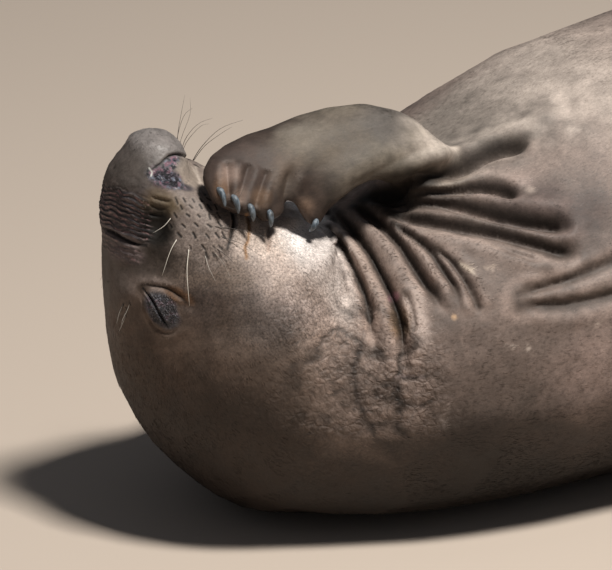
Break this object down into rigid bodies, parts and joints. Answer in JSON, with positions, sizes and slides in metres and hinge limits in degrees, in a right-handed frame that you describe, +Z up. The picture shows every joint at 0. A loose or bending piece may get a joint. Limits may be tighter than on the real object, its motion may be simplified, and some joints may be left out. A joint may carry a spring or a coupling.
{
  "type": "elephant seal model",
  "caption": "Life-size young male elephant seal lying on its back, a fore flipper laid over its throat, as a still display model.",
  "frame": {"origin": "middle of the bounding box's underside, on the floor the animal lies on", "axes": "+X from the head to the hind flippers, +Y to the animal's own left, away from the camera, +Z up"},
  "size_m": [2.9292, 0.8902, 0.5599],
  "materials": {
    "hide": "short damp-looking fur, satin on the lit folds",
    "pale_hide": "short pale fur",
    "horn": "smooth blue-grey horn",
    "eye": "wet, dark"
  },
  "bodies": {
    "root": {"snout": "hide", "lower_jaw": "pale_hide", "head": "hide", "neck": "hide", "chest": "hide", "belly": "hide", "hips": "hide", "tail": "hide", "arm_right": "hide", "hand_right": "hide", "arm_left": "hide", "hand_left": "hide", "hind_flipper_right": "hide", "hind_flipper_left": "hide", "claw_right_1": "horn", "claw_right_2": "horn", "claw_right_3": "horn", "claw_right_4": "horn", "claw_right_5": "horn", "claw_left_1": "horn", "claw_left_2": "horn", "claw_left_3": "horn", "claw_left_4": "horn", "claw_left_5": "horn", "eye_right": "eye", "eye_left": "eye"}
  },
  "joints": []
}
